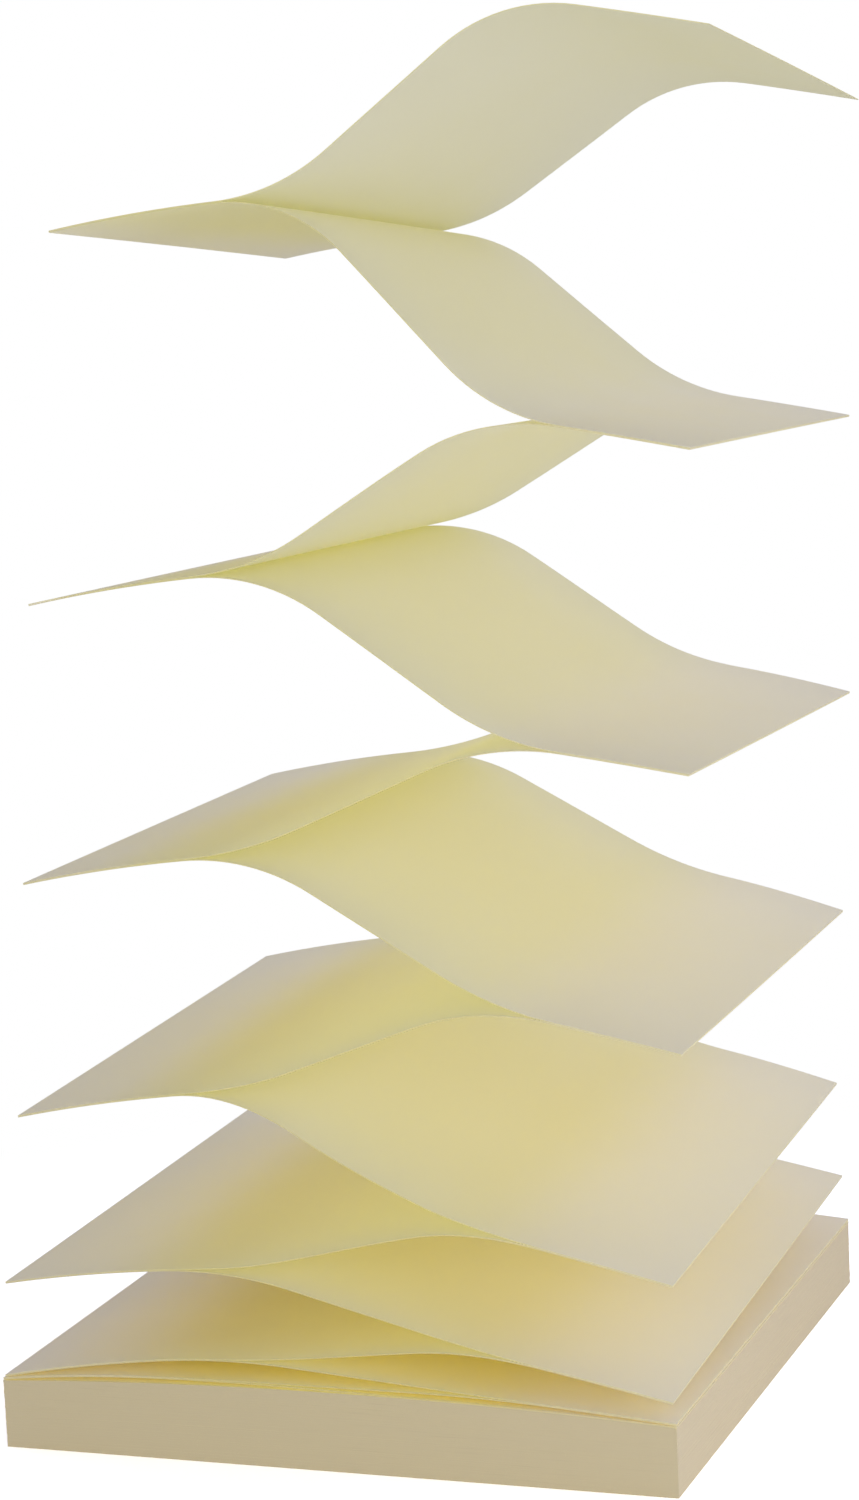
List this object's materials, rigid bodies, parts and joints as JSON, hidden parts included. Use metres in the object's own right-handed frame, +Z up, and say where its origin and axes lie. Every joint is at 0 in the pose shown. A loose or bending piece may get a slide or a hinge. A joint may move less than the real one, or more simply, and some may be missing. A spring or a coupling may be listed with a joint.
{
  "type": "sticky note pad",
  "caption": "Square pad of plain notes stuck along alternate edges, with the upper sheets drawn up into a zigzag stack above the block.",
  "frame": {"origin": "middle of the flat underside of the block", "axes": "+X from the left stuck edges to the right stuck edges, +Y along the stuck edges away from the front, +Z up out of the pad"},
  "size_m": [0.0844, 0.076, 0.1509],
  "materials": {
    "note_paper": "matt",
    "block_paper": "matt, cut sheet edges"
  },
  "bodies": {
    "root": {"pad_block": "block_paper", "note_01": "note_paper", "note_02": "note_paper", "note_03": "note_paper", "note_04": "note_paper", "note_05": "note_paper", "note_06": "note_paper", "note_07": "note_paper", "note_08": "note_paper", "note_09": "note_paper", "note_10": "note_paper", "note_11": "note_paper", "note_12": "note_paper", "note_13": "note_paper", "note_14": "note_paper"}
  },
  "joints": []
}
